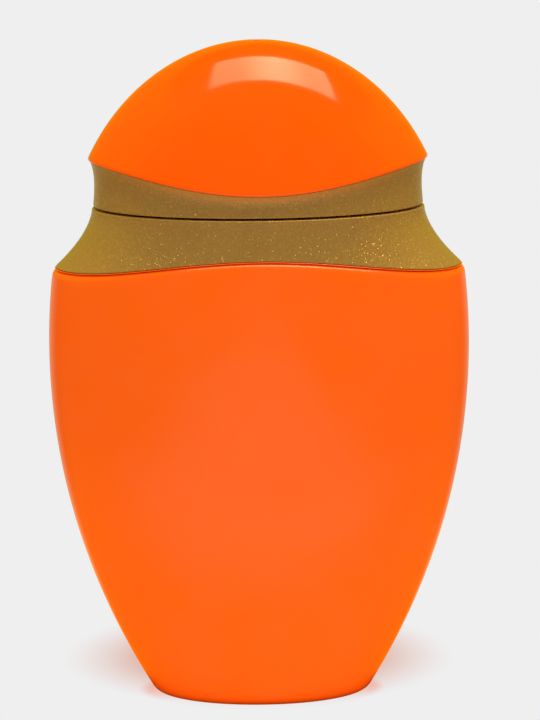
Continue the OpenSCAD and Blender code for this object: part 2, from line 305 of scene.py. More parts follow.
def swept(sides, faces, power):
    """Heights that pass from the sides to the faces; a high power keeps the rise near the faces"""
    return sides + (faces - sides) * np.abs(np.sin(TURN)) ** power


def body_halves(s, height):
    """Half width and half depth of the body at a height"""
    return (
        s.body_width / 2 - s.side_arc + np.sqrt(s.side_arc**2 - (height - s.widest_height) ** 2),
        s.body_depth / 2 - s.face_arc + np.sqrt(s.face_arc**2 - (height - s.deepest_height) ** 2),
    )


def body_ring(s, height, inset=0.0):
    """A ring on the body's own surface, set in by a distance"""
    half_width, half_depth = body_halves(s, height)
    return oval(half_width - inset, half_depth - inset, height)


# How late each seam leaves its height at the sides on its way to the faces
COLLAR_SWEEP = 3.8
CREST_SWEEP = 3.1
# The dark line under the collar: its height, how far the lip stands in, and the groove's depth
LIP_LINE = 0.35 * MM
LIP_INSET = 0.4 * MM
GROOVE = 0.45 * MM
# The shoulder's edge comes in by this share of its radius
EDGE_PULL = 0.8
# The band stands in from the waist below it and from the dome above it
BAND_STEP = 0.25 * MM
CREST_REACH = 0.35 * MM
# What fits inside the band clears it, and the inner cap's web lies a little above its foot
INNER_GAP = 0.12 * MM
WEB_RISE = 0.8 * MM
# Start of the neck's thread above the collar
THREAD_RISE = 2.1 * MM


def inside_band(s, c):
    """Half width and half depth of what fits inside the band"""
    return [half - BAND_STEP - c.band_wall - INNER_GAP for half in (s.waist_width / 2, s.waist_depth / 2)]


def collar_ring(s, share, inset):
    """A ring on the collar's flare, from the waist at 0 to its lower edge at 1"""
    seam = swept(s.seam_sides, s.seam_faces, COLLAR_SWEEP)
    wide, deep = body_halves(s, seam)
    flare = share**s.flare
    half_width = s.waist_width / 2 + (wide - LIP_INSET - s.waist_width / 2) * flare - inset
    half_depth = s.waist_depth / 2 + (deep - LIP_INSET - s.waist_depth / 2) * flare - inset
    return oval(half_width, half_depth, s.collar_top - share * (s.collar_top - seam))


# --- Materials ---------------------------------------------------------------------------------


def new_material(name):
    """A node material with its shader and coordinates in millimetres on the piece"""
    material = bpy.data.materials.new(name)
    material.use_nodes = True
    tree = material.node_tree
    tree.nodes.clear()
    place = add_node(tree, "ShaderNodeTexCoord")
    scaled = add_node(
        tree, "ShaderNodeMapping", {"Vector": place.outputs["Object"], "Scale": (1 / MM, 1 / MM, 1 / MM)}
    )
    shader = add_node(tree, "ShaderNodeBsdfPrincipled")
    add_node(tree, "ShaderNodeOutputMaterial", {"Surface": shader.outputs["BSDF"]})
    return material, tree, shader, scaled.outputs["Vector"]


def orange_plastic(name, pigment, ior, roughness, ripple, peel):
    """Pigmented plastic: its colour drifts a little, and its gloss shows the mould's ripple and fine peel"""
    material, tree, shader, mm = new_material(name)
    drift = add_node(tree, "ShaderNodeTexNoise", {"Vector": mm, "Scale": 1 / 38, "Detail": 2.0})
    paler = [min(1.0, c * 1.05) for c in pigment[:3]] + [1.0]
    tint = add_node(
        tree, "ShaderNodeMix", {0: drift.outputs["Fac"], 6: list(pigment), 7: paler}, data_type="RGBA"
    )
    tree.links.new(tint.outputs[2], shader.inputs["Base Color"])
    smear = add_node(tree, "ShaderNodeTexNoise", {"Vector": mm, "Scale": 1 / 9, "Detail": 3.0})
    spread = {"From Min": 0.3, "From Max": 0.7, "To Min": roughness * 0.85, "To Max": roughness * 1.2}
    gloss = add_node(tree, "ShaderNodeMapRange", {"Value": smear.outputs["Fac"]} | spread)
    tree.links.new(gloss.outputs["Result"], shader.inputs["Roughness"])
    wave = add_node(tree, "ShaderNodeTexNoise", {"Vector": mm, "Scale": 1 / 16, "Detail": 1.0})
    fine = add_node(tree, "ShaderNodeTexNoise", {"Vector": mm, "Scale": 1 / 0.7, "Detail": 2.0})
    rippled = add_node(
        tree, "ShaderNodeBump", {"Strength": 1.0, "Distance": ripple, "Height": wave.outputs["Fac"]}
    ).outputs["Normal"]
    peeled = add_node(
        tree, "ShaderNodeBump", {"Strength": 1.0, "Distance": peel, "Height": fine.outputs["Fac"], "Normal": rippled}
    )
    tree.links.new(peeled.outputs["Normal"], shader.inputs["Normal"])
    shader.inputs["IOR"].default_value = ior
    return material


def gold_lacquer(finishes):
    """Gold lacquer over moulded plastic: satin, with fine metal flake that catches light here and there"""
    material, tree, shader, mm = new_material("gold_flake_lacquer")
    # Real flake is about 0.05 mm, too fine to show here, so it is drawn at 0.17 mm.
    flakes = add_node(tree, "ShaderNodeTexVoronoi", {"Vector": mm, "Scale": 1 / 0.17})
    chance = add_node(
        tree, "ShaderNodeTexWhiteNoise", {"Vector": flakes.outputs["Position"]}, noise_dimensions="3D"
    )
    # Two flakes in three lie loose enough in the lacquer to flash by themselves
    loose = add_node(
        tree, "ShaderNodeMapRange", {"Value": chance.outputs["Value"], "From Min": 0.35, "From Max": 0.4}
    )
    fade = {"From Min": 0.25, "From Max": 0.6, "To Min": 1.0, "To Max": 0.0}
    core = add_node(tree, "ShaderNodeMapRange", {"Value": flakes.outputs["Distance"]} | fade)
    flash = add_node(tree, "ShaderNodeMath", {0: loose.outputs[0], 1: core.outputs[0]}, operation="MULTIPLY")
    # The sprayed coat is a little thicker in some places than in others
    coat = add_node(tree, "ShaderNodeTexNoise", {"Vector": mm, "Scale": 1 / 7, "Detail": 3.0})
    thin = [c * 0.93 for c in finishes.gold[:3]] + [1.0]
    thick = [min(1.0, c * 1.07) for c in finishes.gold[:3]] + [1.0]
    tint = add_node(tree, "ShaderNodeMix", {0: coat.outputs["Fac"], 6: thin, 7: thick}, data_type="RGBA")
    speckled = add_node(
        tree, "ShaderNodeMix", {0: flash.outputs[0], 6: tint.outputs[2], 7: list(finishes.flake)}, data_type="RGBA"
    )
    tree.links.new(speckled.outputs[2], shader.inputs["Base Color"])
    gloss = add_node(tree, "ShaderNodeMapRange", {"Value": flash.outputs[0], "To Min": 0.5, "To Max": 0.2})
    tree.links.new(gloss.outputs[0], shader.inputs["Roughness"])
    # Each flake leans its own way, and the lacquer between the flakes leans a little with it
    tipped = add_node(
        tree, "ShaderNodeVectorMath", {0: flakes.outputs["Color"], 1: (0.5, 0.5, 0.5)}, operation="SUBTRACT"
    )
    lean = add_node(tree, "ShaderNodeMapRange", {"Value": flash.outputs[0], "To Min": 0.1, "To Max": 1.05})
    tilt = add_node(
        tree, "ShaderNodeVectorMath", {0: tipped.outputs[0], "Scale": lean.outputs[0]}, operation="SCALE"
    )
    straight = add_node(tree, "ShaderNodeNewGeometry")
    leaning = add_node(
        tree, "ShaderNodeVectorMath", {0: straight.outputs["Normal"], 1: tilt.outputs[0]}, operation="ADD"
    )
    unit = add_node(tree, "ShaderNodeVectorMath", {0: leaning.outputs[0]}, operation="NORMALIZE")
    tree.links.new(unit.outputs[0], shader.inputs["Normal"])
    shader.inputs["Metallic"].default_value = 0.55
    shader.inputs["Coat Weight"].default_value = 0.4
    shader.inputs["Coat Roughness"].default_value = 0.2
    return material


def pale_plastic(name, pigment, roughness, grain, depth):
    """Natural moulded plastic or foam: pale, with a fine surface grain"""
    material, tree, shader, mm = new_material(name)
    speck = add_node(tree, "ShaderNodeTexNoise", {"Vector": mm, "Scale": 1 / grain, "Detail": 3.0})
    duller = [c * 0.94 for c in pigment[:3]] + [1.0]
    tint = add_node(
        tree, "ShaderNodeMix", {0: speck.outputs["Fac"], 6: duller, 7: list(pigment)}, data_type="RGBA"
    )
    tree.links.new(tint.outputs[2], shader.inputs["Base Color"])
    pitted = add_node(
        tree, "ShaderNodeBump", {"Strength": 0.6, "Distance": depth, "Height": speck.outputs["Fac"]}
    )
    tree.links.new(pitted.outputs["Normal"], shader.inputs["Normal"])
    shader.inputs["Roughness"].default_value = roughness
    shader.inputs["IOR"].default_value = 1.5
    return material


# --- Geometry trees ----------------------------------------------------------------------------

SIZE, WHOLE, SPOT, FINISH = "NodeSocketFloat", "NodeSocketInt", "NodeSocketVector", "NodeSocketMaterial"


def worked_out(tree, known, steps):
    """Math nodes one after another, each with its label, its operation and its terms; known takes the results"""
    for label, operation, *terms in steps:
        inputs = {i: known[t] if isinstance(t, str) else t for i, t in enumerate(terms)}
        known[label] = add_node(tree, "ShaderNodeMath", inputs, operation=operation, label=label).outputs[0]


def unit_sheet(tree, points_x, points_y):
    """A flat grid of 1 by 1, which a tree rolls up, and where each of its points lies from -0.5 to 0.5"""
    sheet = add_node(
        tree, "GeometryNodeMeshGrid", {"Size X": 1, "Size Y": 1, "Vertices X": points_x, "Vertices Y": points_y}
    )
    place = add_node(
        tree, "ShaderNodeSeparateXYZ", {0: add_node(tree, "GeometryNodeInputPosition").outputs[0]}
    )
    return sheet.outputs["Mesh"], {"x": place.outputs[0], "y": place.outputs[1]}


def flared_oval_tree():
    """A shell of oval section from a flat deck to a flared, swept edge: the collar and the band follow it"""
    names = (
        "Flat Half Width", "Flat Half Depth", "Flat Height", "Edge Half Width", "Edge Half Width at Faces",
        "Edge Half Depth", "Edge Half Depth at Sides", "Height at Sides", "Height at Faces", "Sweep", "Flare",
        "Hollow", "Wall", "Opening Half Width", "Opening Half Depth", "Deck", "Edge Radius",
    )  # fmt: skip
    tree, given = new_tree(
        "Flared oval shell",
        [(n, SIZE, 0.0) for n in names] + [("Around", WHOLE, 256), ("Rows", WHOLE, 81), ("Material", FINISH, None)],
    )
    doubled = add_node(tree, "ShaderNodeMath", {0: given["Rows"], 1: 2}, operation="MULTIPLY").outputs[0]
    rows_up = add_node(tree, "ShaderNodeMath", {0: doubled, 1: 1}, operation="ADD").outputs[0]
    round_up = add_node(tree, "ShaderNodeMath", {0: given["Around"], 1: 1}, operation="ADD").outputs[0]
    sheet, known = unit_sheet(tree, round_up, rows_up)
    known |= {n: given[n] for n in names} | {"rows": given["Rows"], "doubled": doubled}
    steps = [
        ("u", "ADD", "x", 0.5), ("v", "ADD", "y", 0.5),
        ("turn", "MULTIPLY", "u", 2 * math.pi), ("cos", "COSINE", "turn"), ("sin", "SINE", "turn"),
        ("abs sin", "ABSOLUTE", "sin"), ("lift", "POWER", "abs sin", "Sweep"),
        # The first half of the rows runs from the deck's opening to the edge outside, and the second half back inside
        ("row raw", "MULTIPLY", "v", "doubled"), ("row", "ROUND", "row raw"),
        ("wrapped", "FLOORED_MODULO", "row", "doubled"),
        ("last", "SUBTRACT", "rows", 1), ("half", "SUBTRACT", "rows", 0.5),
        ("inside", "GREATER_THAN", "wrapped", "half"), ("outside", "SUBTRACT", 1, "inside"),
        ("back from", "SUBTRACT", "doubled", 1), ("back", "SUBTRACT", "back from", "wrapped"),
        ("go out", "MULTIPLY", "wrapped", "outside"), ("go back", "MULTIPLY", "back", "inside"),
        ("gone", "ADD", "go out", "go back"), ("t", "DIVIDE", "gone", "last"),
        ("on deck raw", "MULTIPLY", "t", 10), ("on deck", "MINIMUM", "on deck raw", 1),
        ("past deck", "SUBTRACT", "t", 0.1), ("past deck 0", "MAXIMUM", "past deck", 0),
        ("even", "DIVIDE", "past deck 0", 0.9), ("even 2", "MULTIPLY", "even", "even"),
        ("two even", "MULTIPLY", "even", -2), ("less", "ADD", "two even", 3),
        ("eased", "MULTIPLY", "even 2", "less"),
        # Heights
        ("sweep by", "SUBTRACT", "Height at Faces", "Height at Sides"),
        ("swept", "MULTIPLY", "sweep by", "lift"),
        ("edge z", "ADD", "Height at Sides", "swept"), ("fall", "SUBTRACT", "Flat Height", "edge z"),
        ("way", "SIGN", "fall"), ("deck in", "MULTIPLY", "Deck", "inside"),
        ("deck drop", "MULTIPLY", "deck in", "way"),
        ("flat z", "SUBTRACT", "Flat Height", "deck drop"), ("to edge", "SUBTRACT", "edge z", "flat z"),
        ("gone z", "MULTIPLY", "to edge", "eased"), ("z", "ADD", "flat z", "gone z"),
        # Half width and half depth
        ("drop", "SUBTRACT", "Flat Height", "z"), ("share", "DIVIDE", "drop", "fall"),
        ("flared", "POWER", "share", "Flare"), ("half turn", "MULTIPLY", "share", math.pi),
        ("bow", "SINE", "half turn"), ("hollowed", "MULTIPLY", "bow", "Hollow"),
        ("hollow", "MULTIPLY", "hollowed", "outside"),
        ("wall", "MULTIPLY", "Wall", "inside"), ("set in", "ADD", "hollow", "wall"),
        # The rounds at both ends of the outside
        ("from top", "ABSOLUTE", "drop"), ("below", "SUBTRACT", "z", "edge z"),
        ("from edge", "ABSOLUTE", "below"),
        ("nearest", "MINIMUM", "from top", "from edge"), ("near", "DIVIDE", "nearest", "Edge Radius"),
        ("nearness", "SUBTRACT", 1, "near"), ("near 0", "MAXIMUM", "nearness", 0),
        ("near 2", "MULTIPLY", "near 0", "near 0"),
        ("round 2", "SUBTRACT", 1, "near 2"), ("round 1", "SQRT", "round 2"),
        ("short", "SUBTRACT", 1, "round 1"),
        ("rounded", "MULTIPLY", "short", "Edge Radius"), ("round in", "MULTIPLY", "rounded", "outside"),
        ("all in", "ADD", "set in", "round in"),
        ("width by", "SUBTRACT", "Edge Half Width at Faces", "Edge Half Width"),
        ("width in", "MULTIPLY", "width by", "lift"),
        ("edge w", "ADD", "Edge Half Width", "width in"),
        ("flare w", "SUBTRACT", "edge w", "Flat Half Width"),
        ("flared w", "MULTIPLY", "flare w", "flared"), ("w", "ADD", "Flat Half Width", "flared w"),
        ("depth by", "SUBTRACT", "Edge Half Depth", "Edge Half Depth at Sides"),
        ("depth in", "MULTIPLY", "depth by", "lift"),
        ("edge d", "ADD", "Edge Half Depth at Sides", "depth in"),
        ("flare d", "SUBTRACT", "edge d", "Flat Half Depth"),
        ("flared d", "MULTIPLY", "flare d", "flared"), ("d", "ADD", "Flat Half Depth", "flared d"),
        ("wall w", "SUBTRACT", "w", "all in"), ("wall d", "SUBTRACT", "d", "all in"),
        ("reach w", "SUBTRACT", "wall w", "Opening Half Width"),
        ("deck w", "MULTIPLY", "reach w", "on deck"),
        ("half w", "ADD", "Opening Half Width", "deck w"),
        ("reach d", "SUBTRACT", "wall d", "Opening Half Depth"),
        ("deck d", "MULTIPLY", "reach d", "on deck"),
        ("half d", "ADD", "Opening Half Depth", "deck d"),
        ("X", "MULTIPLY", "half w", "cos"), ("Y", "MULTIPLY", "half d", "sin"),
    ]  # fmt: skip
    worked_out(tree, known, steps)
    moved = add_node(tree, "ShaderNodeCombineXYZ", {"X": known["X"], "Y": known["Y"], "Z": known["z"]})
    shaped = add_node(tree, "GeometryNodeSetPosition", {"Geometry": sheet, "Position": moved.outputs[0]})
    joined = add_node(tree, "GeometryNodeMergeByDistance", {"Geometry": shaped.outputs[0], "Distance": 1e-6})
    end_tree(tree, joined.outputs[0], given["Material"])
    return tree


def thread_tree():
    """Ridges that climb a helix and fade out at both ends; a negative height points them inwards"""
    names = (
        "Radius", "Lead", "Turns", "Foot", "First Angle", "Ridge Height", "Ridge Foot Width", "Ridge Crest Width",
    )  # fmt: skip
    tree, given = new_tree(
        "Thread ridges",
        [(n, SIZE, 0.0) for n in names] + [("Starts", WHOLE, 2), ("Steps", WHOLE, 160), ("Material", FINISH, None)],
    )
    steps_up = add_node(tree, "ShaderNodeMath", {0: given["Steps"], 1: 1}, operation="ADD").outputs[0]
    strip, known = unit_sheet(tree, steps_up, 9)
    known |= {n: given[n] for n in names}
    steps = [
        ("u", "ADD", "x", 0.5), ("v", "ADD", "y", 0.5),
        ("all turns", "MULTIPLY", "Turns", 2 * math.pi), ("gone", "MULTIPLY", "all turns", "u"),
        ("turn", "ADD", "gone", "First Angle"), ("cos", "COSINE", "turn"), ("sin", "SINE", "turn"),
        ("rise all", "MULTIPLY", "Lead", "Turns"), ("rise", "MULTIPLY", "rise all", "u"),
        ("centre", "ADD", "Foot", "rise"),
        ("to end", "SUBTRACT", 1, "u"), ("nearer", "MINIMUM", "u", "to end"),
        ("fade raw", "MULTIPLY", "nearer", 9),
        ("fade 1", "MINIMUM", "fade raw", 1), ("fade", "SQRT", "fade 1"),
        # The section: a round-shouldered ridge, which closes underneath its own foot
        ("across", "MULTIPLY", "v", 2 * math.pi), ("side", "COSINE", "across"), ("out", "SINE", "across"),
        ("out 0", "MAXIMUM", "out", -0.35), ("side abs", "ABSOLUTE", "side"),
        ("side power", "POWER", "side abs", 0.75),
        ("side sign", "SIGN", "side"), ("side full", "MULTIPLY", "side power", "side sign"),
        ("narrow by", "SUBTRACT", "Ridge Foot Width", "Ridge Crest Width"), ("out 1", "MAXIMUM", "out", 0),
        ("narrow", "MULTIPLY", "narrow by", "out 1"), ("wide", "SUBTRACT", "Ridge Foot Width", "narrow"),
        ("half wide", "MULTIPLY", "wide", 0.5), ("dz full", "MULTIPLY", "half wide", "side full"),
        ("dz", "MULTIPLY", "dz full", "fade"), ("dr full", "MULTIPLY", "Ridge Height", "out 0"),
        ("dr", "MULTIPLY", "dr full", "fade"),
        ("r", "ADD", "Radius", "dr"), ("X", "MULTIPLY", "r", "cos"), ("Y", "MULTIPLY", "r", "sin"),
        ("Z", "ADD", "centre", "dz"),
    ]  # fmt: skip
    worked_out(tree, known, steps)
    moved = add_node(tree, "ShaderNodeCombineXYZ", {"X": known["X"], "Y": known["Y"], "Z": known["Z"]})
    ridge = add_node(tree, "GeometryNodeSetPosition", {"Geometry": strip, "Position": moved.outputs[0]})
    # One ridge for each start, turned round the neck
    begun = add_node(tree, "GeometryNodePoints", {"Count": given["Starts"]})
    number = add_node(tree, "GeometryNodeInputIndex")
    part = add_node(tree, "ShaderNodeMath", {0: number.outputs[0], 1: given["Starts"]}, operation="DIVIDE")
    angle = add_node(tree, "ShaderNodeMath", {0: part.outputs[0], 1: 2 * math.pi}, operation="MULTIPLY")
    spin = add_node(tree, "ShaderNodeCombineXYZ", {"Z": angle.outputs[0]})
    placed = add_node(
        tree,
        "GeometryNodeInstanceOnPoints",
        {"Points": begun.outputs[0], "Instance": ridge.outputs[0], "Rotation": spin.outputs[0]},
    )
    real = add_node(tree, "GeometryNodeRealizeInstances", {"Geometry": placed.outputs[0]})
    joined = add_node(tree, "GeometryNodeMergeByDistance", {"Geometry": real.outputs[0], "Distance": 1e-6})
    end_tree(tree, joined.outputs[0], given["Material"])
    return tree


def gusset_tree():
    """Gussets between a tube and a plate, one at each seed point, square to the axis"""
    names = ("Thickness", "Root", "Reach", "Foot Height", "Height")
    tree, given = new_tree("Gussets", [(n, SIZE, 0.0) for n in names] + [("Material", FINISH, None)])
    low = add_node(tree, "ShaderNodeMath", {0: given["Thickness"], 1: -0.33}, operation="MULTIPLY").outputs[0]
    corners = [
        add_node(tree, "ShaderNodeCombineXYZ", {"X": given["Root"], "Y": low}),
        add_node(tree, "ShaderNodeCombineXYZ", {"X": given["Reach"], "Y": low}),
        add_node(tree, "ShaderNodeCombineXYZ", {"X": given["Reach"], "Y": given["Foot Height"]}),
        add_node(tree, "ShaderNodeCombineXYZ", {"X": given["Root"], "Y": given["Height"]}),
    ]
    outline = add_node(
        tree,
        "GeometryNodeCurvePrimitiveQuadrilateral",
        {f"Point {i + 1}": c.outputs[0] for i, c in enumerate(corners)},
        mode="POINTS",
    )
    plate = add_node(tree, "GeometryNodeFillCurve", {0: outline.outputs[0]})
    raised = add_node(
        tree,
        "GeometryNodeExtrudeMesh",
        {"Mesh": plate.outputs[0], "Offset Scale": given["Thickness"], "Individual": False},
    )
    flipped = add_node(tree, "GeometryNodeFlipFaces", {"Mesh": plate.outputs[0]})
    solid = add_node(tree, "GeometryNodeJoinGeometry", {0: raised.outputs["Mesh"]})
    tree.links.new(flipped.outputs[0], solid.inputs[0])
    sewn = add_node(tree, "GeometryNodeMergeByDistance", {"Geometry": solid.outputs[0], "Distance": 1e-6})
    back = add_node(tree, "ShaderNodeMath", {0: given["Thickness"], 1: -0.5}, operation="MULTIPLY").outputs[0]
    centred = add_node(tree, "ShaderNodeCombineXYZ", {"Z": back})
    middle = add_node(
        tree, "GeometryNodeTransform", {"Geometry": sewn.outputs[0], "Translation": centred.outputs[0]}
    )
    upright = add_node(
        tree, "GeometryNodeTransform", {"Geometry": middle.outputs[0], "Rotation": (math.pi / 2, 0, 0)}
    )
    # Each seed point gives its direction from the axis; the gusset stands at the axis and reaches that way
    spot = add_node(tree, "GeometryNodeInputPosition")
    parts = add_node(tree, "ShaderNodeSeparateXYZ", {0: spot.outputs[0]})
    angle = add_node(tree, "ShaderNodeMath", {0: parts.outputs[1], 1: parts.outputs[0]}, operation="ARCTAN2")
    spin = add_node(tree, "ShaderNodeCombineXYZ", {"Z": angle.outputs[0]})
    level = add_node(tree, "ShaderNodeCombineXYZ", {"Z": parts.outputs[2]})
    placed = add_node(
        tree,
        "GeometryNodeInstanceOnPoints",
        {"Points": given["Geometry"], "Instance": upright.outputs[0], "Rotation": spin.outputs[0]},
    )
    home = add_node(
        tree, "GeometryNodeSetPosition", {"Geometry": placed.outputs[0], "Position": level.outputs[0]}
    )
    end_tree(tree, home.outputs[0], given["Material"], smooth=False)
    return tree


def mould_seam_tree():
    """A fine raised line along an arc, on both sides of the axis, where the halves of the mould met"""
    spots = [(n, SPOT, None) for n in ("Start", "Middle", "End")]
    sizes = [(n, SIZE, 0.0) for n in ("Half Width", "Rise")]
    tree, given = new_tree("Mould seam", spots + sizes + [("Material", FINISH, None)])
    path = add_node(
        tree,
        "GeometryNodeCurveArc",
        {"Resolution": 96, "Start": given["Start"], "Middle": given["Middle"], "End": given["End"]},
        mode="POINTS",
    )
    bead = add_node(
        tree, "GeometryNodeCurvePrimitiveCircle", {"Resolution": 8, "Radius": given["Half Width"]}
    )
    line = add_node(
        tree,
        "GeometryNodeCurveToMesh",
        {"Curve": path.outputs["Curve"], "Profile Curve": bead.outputs["Curve"], "Fill Caps": True},
    )
    sunk = add_node(tree, "ShaderNodeMath", {0: given["Rise"], 1: given["Half Width"]}, operation="SUBTRACT")
    inwards = add_node(tree, "ShaderNodeCombineXYZ", {"X": sunk.outputs[0]})
    right = add_node(
        tree, "GeometryNodeTransform", {"Geometry": line.outputs[0], "Translation": inwards.outputs[0]}
    )
    left = add_node(
        tree, "GeometryNodeTransform", {"Geometry": right.outputs[0], "Rotation": (0, 0, math.pi)}
    )
    both = add_node(tree, "GeometryNodeJoinGeometry", {0: right.outputs[0]})
    tree.links.new(left.outputs[0], both.inputs[0])
    end_tree(tree, both.outputs[0], given["Material"])
    return tree


# --- Operators: one for each piece -------------------------------------------------------------


class BOTTLE_OT_blown_body(bpy.types.Operator):
    """Make the blown bottle with its neck, its thread and its mould seams"""

    bl_idname = "lotion_bottle.blown_body"
    bl_label = "Blown Body"

    def execute(self, context):
        s = context.scene.bottle_sizes
        finishes = context.scene.bottle_finishes
        # Blow-moulded polyethylene copies the mould's polish, so it is glossy but rippled.
        orange = orange_plastic("blown_polyethylene", finishes.bottle, 1.53, 0.16, 0.05 * MM, 0.004 * MM)

        seam = swept(s.seam_sides, s.seam_faces, COLLAR_SWEEP)
        side_lean = math.asin((s.widest_height - s.base_edge / 2) / s.side_arc)
        face_lean = math.asin((s.deepest_height - s.base_edge) / s.face_arc)
        side_foot = s.base_edge * (1 - math.sin(side_lean))
        face_foot = s.base_edge * (1 - math.sin(face_lean))
        foot_w = body_halves(s, side_foot)[0] - s.base_edge * math.cos(side_lean)
        foot_d = body_halves(s, face_foot)[1] - s.base_edge * math.cos(face_lean)
        recess_w, recess_d = foot_w - s.foot, foot_d - s.foot
        slope = 3.2 * MM

        rings = []
        for k in (0.25, 0.5, 0.75, 0.93):
            rings.append(oval((recess_w - slope) * k, (recess_d - slope) * k, s.recess))
        for k in np.linspace(1, 0, 12):
            rings.append(oval(recess_w - slope * k, recess_d - slope * k, s.recess * k * k * (3 - 2 * k)))
        for share in np.linspace(0, 1, 10)[:-1]:
            side_turn = math.pi / 2 - share * (math.pi / 2 - side_lean)
            face_turn = math.pi / 2 - share * (math.pi / 2 - face_lean)
            half_w = foot_w + s.base_edge * math.cos(side_turn)
            half_d = foot_d + s.base_edge * math.cos(face_turn)
            side_z, face_z = s.base_edge * (1 - math.sin(side_turn)), s.base_edge * (1 - math.sin(face_turn))
            rings.append(oval(half_w, half_d, swept(side_z, face_z, 2)))
        wall_foot = swept(side_foot, face_foot, 2)
        wall_top = seam - LIP_LINE - s.shoulder_edge
        for share in np.linspace(0, 1, 90)[:-1]:
            rings.append(body_ring(s, wall_foot + (wall_top - wall_foot) * share))
        for angle in np.radians(np.linspace(0, 90, 13)):
            drop = s.shoulder_edge * (1 - math.sin(angle))
            pull = s.shoulder_edge * (1 - math.cos(angle)) * EDGE_PULL
            rings.append(body_ring(s, seam - LIP_LINE - drop, pull))
        # The groove under the collar, and the thin lip that the collar stands on
        groove = s.shoulder_edge * EDGE_PULL + GROOVE
        for up, inset in ((0.98, groove * 0.9), (0.9, groove), (0.78, groove), (0.7, groove * 0.8)):
            rings.append(body_ring(s, seam - LIP_LINE * up, inset))
        for up, share in ((0.66, 1.1), (0.56, 0.92), (0.4, 0.88), (0.2, 1)):
            rings.append(body_ring(s, seam - LIP_LINE * up, LIP_INSET * share))
        hidden = s.collar_wall + 0.3 * MM
        for share in np.linspace(1, 0.3, 12):
            rings.append(collar_ring(s, share, hidden))
        shoulder_z = s.collar_top - s.deck - 0.15 * MM
        top_w, top_d = s.waist_width / 2 - hidden, s.waist_depth / 2 - hidden
        land = s.thread_width / 2 + 0.1 * MM
        ledge = land + 1.3 * MM
        rings.append(oval(top_w - 0.5 * MM, top_d - 0.5 * MM, shoulder_z - 1 * MM))
        rings.append(oval(top_w - 1.4 * MM, top_d - 1.4 * MM, shoulder_z - 0.5 * MM))
        for k in (0.25, 0.5, 0.75):
            half_w, half_d = ((half - 2 * MM) * (1 - k) + (ledge + 1 * MM) * k for half in (top_w, top_d))
            rings.append(oval(half_w, half_d, shoulder_z))
        neck, bore = s.neck_width / 2, s.bore / 2
        outline = [(ledge + 0.8 * MM, shoulder_z), (ledge, shoulder_z), (ledge, shoulder_z + 0.15 * MM)]
        outline += [(land, shoulder_z + 0.15 * MM), (land, s.collar_top - 0.1 * MM)]
        outline += [(land - 0.2 * MM, s.collar_top + 0.1 * MM)]
        outline += arc((land - 0.2 * MM, s.collar_top + 1 * MM), 0.9 * MM, 270, 180, 8)
        outline += [(neck, s.collar_top + 1.4 * MM)]
        outline += [(neck, z) for z in np.linspace(s.collar_top + 2 * MM, s.neck_top - 0.6 * MM, 10)]
        outline += arc((neck - 0.35 * MM, s.neck_top - 0.35 * MM), 0.35 * MM, 0, 90, 7)
        outline += arc((bore + 0.2 * MM, s.neck_top - 0.2 * MM), 0.2 * MM, 90, 180, 6)
        outline += [(bore, z) for z in np.linspace(s.neck_top - 1 * MM, shoulder_z - s.wall, 8)]
        outline += [(ledge + 0.8 * MM, shoulder_z - s.wall)]
        rings += [oval(r, r, z) for r, z in outline]
        for share in np.linspace(0.45, 1, 9):
            rings.append(collar_ring(s, share, hidden + s.wall))
        floor_z = s.recess + s.floor
        hollow_top = seam - 3 * MM
        for share in np.linspace(1, 0.1, 34):
            rings.append(body_ring(s, floor_z + (hollow_top - floor_z) * share, s.wall))
        for angle in np.radians(np.linspace(0, 90, 8)):
            drop = 2 * MM * (1 - math.sin(angle))
            rings.append(body_ring(s, floor_z + drop, s.wall + 2 * MM * (1 - math.cos(angle))))
        rings.append(oval(recess_w - slope, recess_d - slope, floor_z))
        body = loft("blown_body", rings, orange)

        ridge = (s.thread_width - s.neck_width) / 2
        thread = grow(
            "neck_thread",
            thread_tree(),
            {
                "Radius": neck, "Lead": s.thread_lead, "Turns": 0.86, "Foot": s.collar_top + THREAD_RISE,
                "First Angle": math.radians(20), "Ridge Height": ridge, "Ridge Foot Width": 1.7 * MM,
                "Ridge Crest Width": 0.8 * MM, "Starts": 2, "Steps": 180, "Material": orange,
            },
        )  # fmt: skip
        heights = (4 * MM, 45 * MM, s.seam_sides - 2.2 * MM)
        spots = [(float(body_halves(s, z)[0]), 0.0, z) for z in heights]
        seams = grow(
            "mould_seams",
            mould_seam_tree(),
            {
                "Start": spots[0], "Middle": spots[1], "End": spots[2], "Half Width": 0.16 * MM, "Rise": 0.03 * MM,
                "Material": orange,
            },
        )  # fmt: skip
        for piece in (body, thread, seams):
            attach(piece, "bottle")
        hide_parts("bottle_body")
        return {"FINISHED"}


